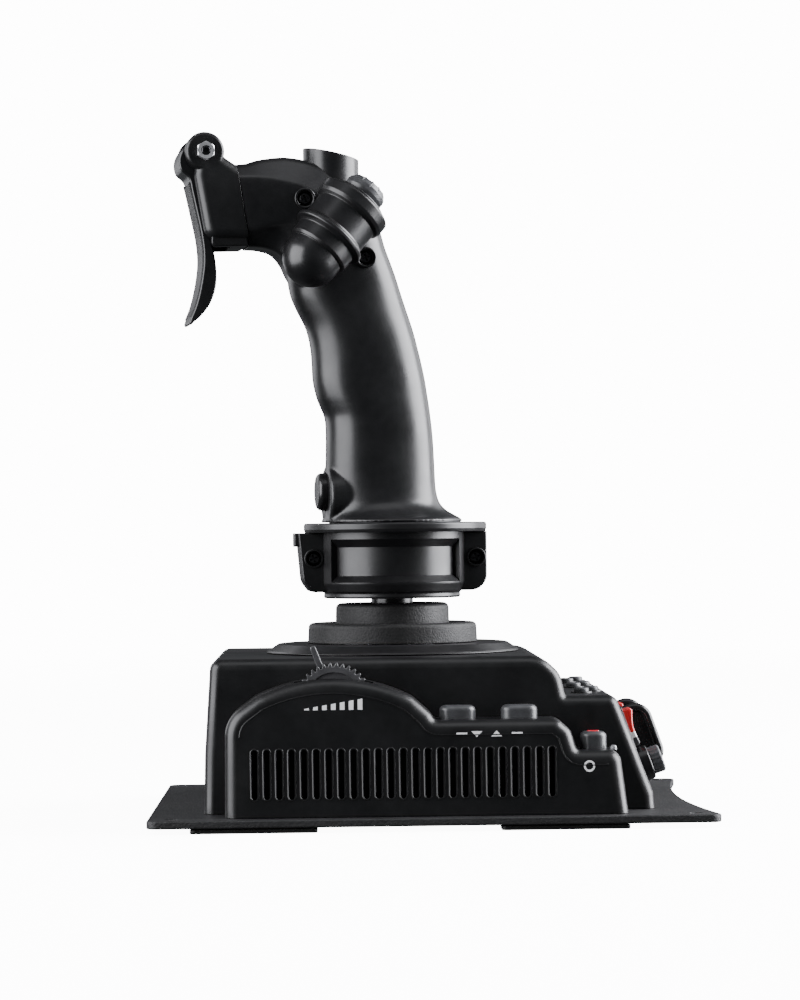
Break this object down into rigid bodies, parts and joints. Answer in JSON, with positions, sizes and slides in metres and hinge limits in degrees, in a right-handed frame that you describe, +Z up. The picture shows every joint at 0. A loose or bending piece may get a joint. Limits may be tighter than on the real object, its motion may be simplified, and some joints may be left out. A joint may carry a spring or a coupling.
{
  "type": "flight joystick",
  "caption": "Desktop flight joystick: a weighted base with side vents, throttle wheel and button shelf, and a canted pistol grip with trigger and hat pod on a gimbal.",
  "frame": {"origin": "centre of the base plate's footprint, on the surface that the feet rest on", "axes": "+Z up along the stick axis; -X is the trigger side, +X the user's side with the control panel, -Y the side with the throttle wheel"},
  "size_m": [0.232, 0.2, 0.2901],
  "materials": {
    "plate_paint": "fine textured black powder coat",
    "housing_plastic": "satin black moulded plastic with a faint spark texture",
    "grip_plastic": "smooth satin black with a soft sheen",
    "trigger_plastic": "satin black, diagonal knurl on the finger face",
    "button_plastic": "dark grey satin",
    "rocker_plastic": "red half and dark grey half",
    "rubber": "stippled black rubber",
    "steel": "zinc plated",
    "black_steel": "black oxide",
    "brass": "machined",
    "circuit_board": "green solder mask",
    "switch_plastic": "plain moulded"
  },
  "bodies": {
    "base": {"base_plate": "plate_paint", "foot_pad_front_left": "rubber", "foot_pad_front_right": "rubber", "foot_pad_rear_left": "rubber", "foot_pad_rear_right": "rubber", "base_shell": "housing_plastic", "side_casing_left": "housing_plastic", "side_casing_right": "housing_plastic", "throttle_sensor": "steel", "switch_guard_left": "housing_plastic", "switch_guard_right": "housing_plastic", "cable_gland": "rubber", "ballast_weight": "black_steel", "circuit_board": "circuit_board", "centring_spring": "steel", "pivot_bezel": "housing_plastic", "boot_collar": "rubber", "gimbal_frame": "steel"},
    "gimbal": {"gimbal_ring": "steel", "pitch_pin_left": "brass", "pitch_pin_right": "brass"},
    "stick_column": {"stick_shaft": "black_steel", "roll_pin_front": "brass", "roll_pin_rear": "brass", "dust_cap": "rubber", "centring_cam": "steel", "twist_bearing": "brass"},
    "grip": {"clamp_half_left": "housing_plastic", "clamp_half_right": "housing_plastic", "clamp_screw_front": "black_steel", "clamp_screw_rear": "black_steel", "grip_flange": "housing_plastic", "grip_shell_left": "grip_plastic", "grip_shell_right": "grip_plastic", "grip_screw_upper": "black_steel", "grip_screw_lower": "black_steel", "hat_pod": "grip_plastic", "trigger_housing": "housing_plastic", "trigger_bolt": "steel", "trigger_nut": "steel", "trigger_switch": "switch_plastic"},
    "trigger": {"trigger": "trigger_plastic"},
    "thumb_button": {"thumb_button": "button_plastic"},
    "pinky_button": {"pinky_button": "button_plastic"},
    "pod_hat": {"pod_hat": "button_plastic"},
    "throttle_wheel": {"throttle_wheel": "button_plastic"},
    "flap_button_front": {"flap_button_front": "button_plastic"},
    "flap_button_rear": {"flap_button_rear": "button_plastic"},
    "mode_button": {"mode_button": "button_plastic"},
    "rocker_left": {"rocker_left": "rocker_plastic"},
    "rocker_centre": {"rocker_centre": "rocker_plastic"},
    "rocker_right": {"rocker_right": "rocker_plastic"},
    "knob_left": {"knob_left": "button_plastic"},
    "knob_right": {"knob_right": "button_plastic"},
    "shelf_button_1": {"shelf_button_1": "button_plastic"},
    "shelf_button_2": {"shelf_button_2": "button_plastic"},
    "shelf_button_3": {"shelf_button_3": "button_plastic"},
    "shelf_button_4": {"shelf_button_4": "button_plastic"},
    "shelf_button_5": {"shelf_button_5": "button_plastic"},
    "shelf_button_6": {"shelf_button_6": "button_plastic"}
  },
  "joints": [
    {"name": "stick_pitch", "type": "hinge", "parent": "base", "child": "gimbal", "pos_m": [-0.0144, 0, 0.068], "axis": [0, 1, 0], "range_deg": [-13, 13], "stiffness_Nm_per_rad": 6},
    {"name": "stick_roll", "type": "hinge", "parent": "gimbal", "child": "stick_column", "pos_m": [-0.0144, 0, 0.068], "axis": [1, 0, 0], "range_deg": [-13, 13], "stiffness_Nm_per_rad": 6},
    {"name": "stick_twist", "type": "hinge", "parent": "stick_column", "child": "grip", "pos_m": [-0.0144, 0, 0.1], "axis": [0, 0, 1], "range_deg": [-15, 15], "stiffness_Nm_per_rad": 0.8},
    {"name": "trigger_pull", "type": "hinge", "parent": "grip", "child": "trigger", "pos_m": [-0.0944, -0.01267, 0.2825], "axis": [0.1564, -0.9877, 0], "range_deg": [0, 10], "stiffness_Nm_per_rad": 0.6},
    {"name": "thumb_press", "type": "slide", "parent": "grip", "child": "thumb_button", "axis": [0, 0, -1], "range_m": [0, 0.0015], "stiffness_N_per_m": 800},
    {"name": "pinky_press", "type": "slide", "parent": "grip", "child": "pinky_button", "axis": [0.9877, 0.1564, 0], "range_m": [0, 0.002], "stiffness_N_per_m": 500},
    {"name": "hat_tilt", "type": "hinge", "parent": "grip", "child": "pod_hat", "pos_m": [-0.03242, -0.032, 0.25459], "axis": [-0.1564, 0.9877, 0], "range_deg": [-8, 8], "stiffness_Nm_per_rad": 0.3},
    {"name": "throttle_turn", "type": "hinge", "parent": "base", "child": "throttle_wheel", "pos_m": [-0.0399, -0.085, 0.0522], "axis": [0, 1, 0], "range_deg": [-24, 66]},
    {"name": "flap_front_press", "type": "slide", "parent": "base", "child": "flap_button_front", "axis": [0, 0, -1], "range_m": [0, 0.0018], "stiffness_N_per_m": 500},
    {"name": "flap_rear_press", "type": "slide", "parent": "base", "child": "flap_button_rear", "axis": [0, 0, -1], "range_m": [0, 0.0018], "stiffness_N_per_m": 500},
    {"name": "mode_press", "type": "slide", "parent": "base", "child": "mode_button", "axis": [0, 0, -1], "range_m": [0, 0.0018], "stiffness_N_per_m": 500},
    {"name": "shelf_button_1_press", "type": "slide", "parent": "base", "child": "shelf_button_1", "axis": [0, 0, -1], "range_m": [0, 0.0012], "stiffness_N_per_m": 400},
    {"name": "shelf_button_2_press", "type": "slide", "parent": "base", "child": "shelf_button_2", "axis": [0, 0, -1], "range_m": [0, 0.0012], "stiffness_N_per_m": 400},
    {"name": "shelf_button_3_press", "type": "slide", "parent": "base", "child": "shelf_button_3", "axis": [0, 0, -1], "range_m": [0, 0.0012], "stiffness_N_per_m": 400},
    {"name": "shelf_button_4_press", "type": "slide", "parent": "base", "child": "shelf_button_4", "axis": [0, 0, -1], "range_m": [0, 0.0012], "stiffness_N_per_m": 400},
    {"name": "shelf_button_5_press", "type": "slide", "parent": "base", "child": "shelf_button_5", "axis": [0, 0, -1], "range_m": [0, 0.0012], "stiffness_N_per_m": 400},
    {"name": "shelf_button_6_press", "type": "slide", "parent": "base", "child": "shelf_button_6", "axis": [0, 0, -1], "range_m": [0, 0.0012], "stiffness_N_per_m": 400},
    {"name": "rocker_left_tilt", "type": "hinge", "parent": "base", "child": "rocker_left", "pos_m": [0.08278, -0.042, 0.03723], "axis": [0, 1, 0], "range_deg": [-12, 0]},
    {"name": "rocker_centre_tilt", "type": "hinge", "parent": "base", "child": "rocker_centre", "pos_m": [0.08278, 0, 0.03723], "axis": [0, 1, 0], "range_deg": [-12, 0]},
    {"name": "rocker_right_tilt", "type": "hinge", "parent": "base", "child": "rocker_right", "pos_m": [0.08278, 0.042, 0.03723], "axis": [0, 1, 0], "range_deg": [-12, 0]},
    {"name": "knob_left_turn", "type": "hinge", "parent": "base", "child": "knob_left", "pos_m": [0.09151, -0.042, 0.02292], "axis": [0.9436, 0, 0.3311], "range_deg": [-135, 135]},
    {"name": "knob_right_turn", "type": "hinge", "parent": "base", "child": "knob_right", "pos_m": [0.09151, 0.042, 0.02292], "axis": [0.9436, 0, 0.3311], "range_deg": [-135, 135]}
  ]
}
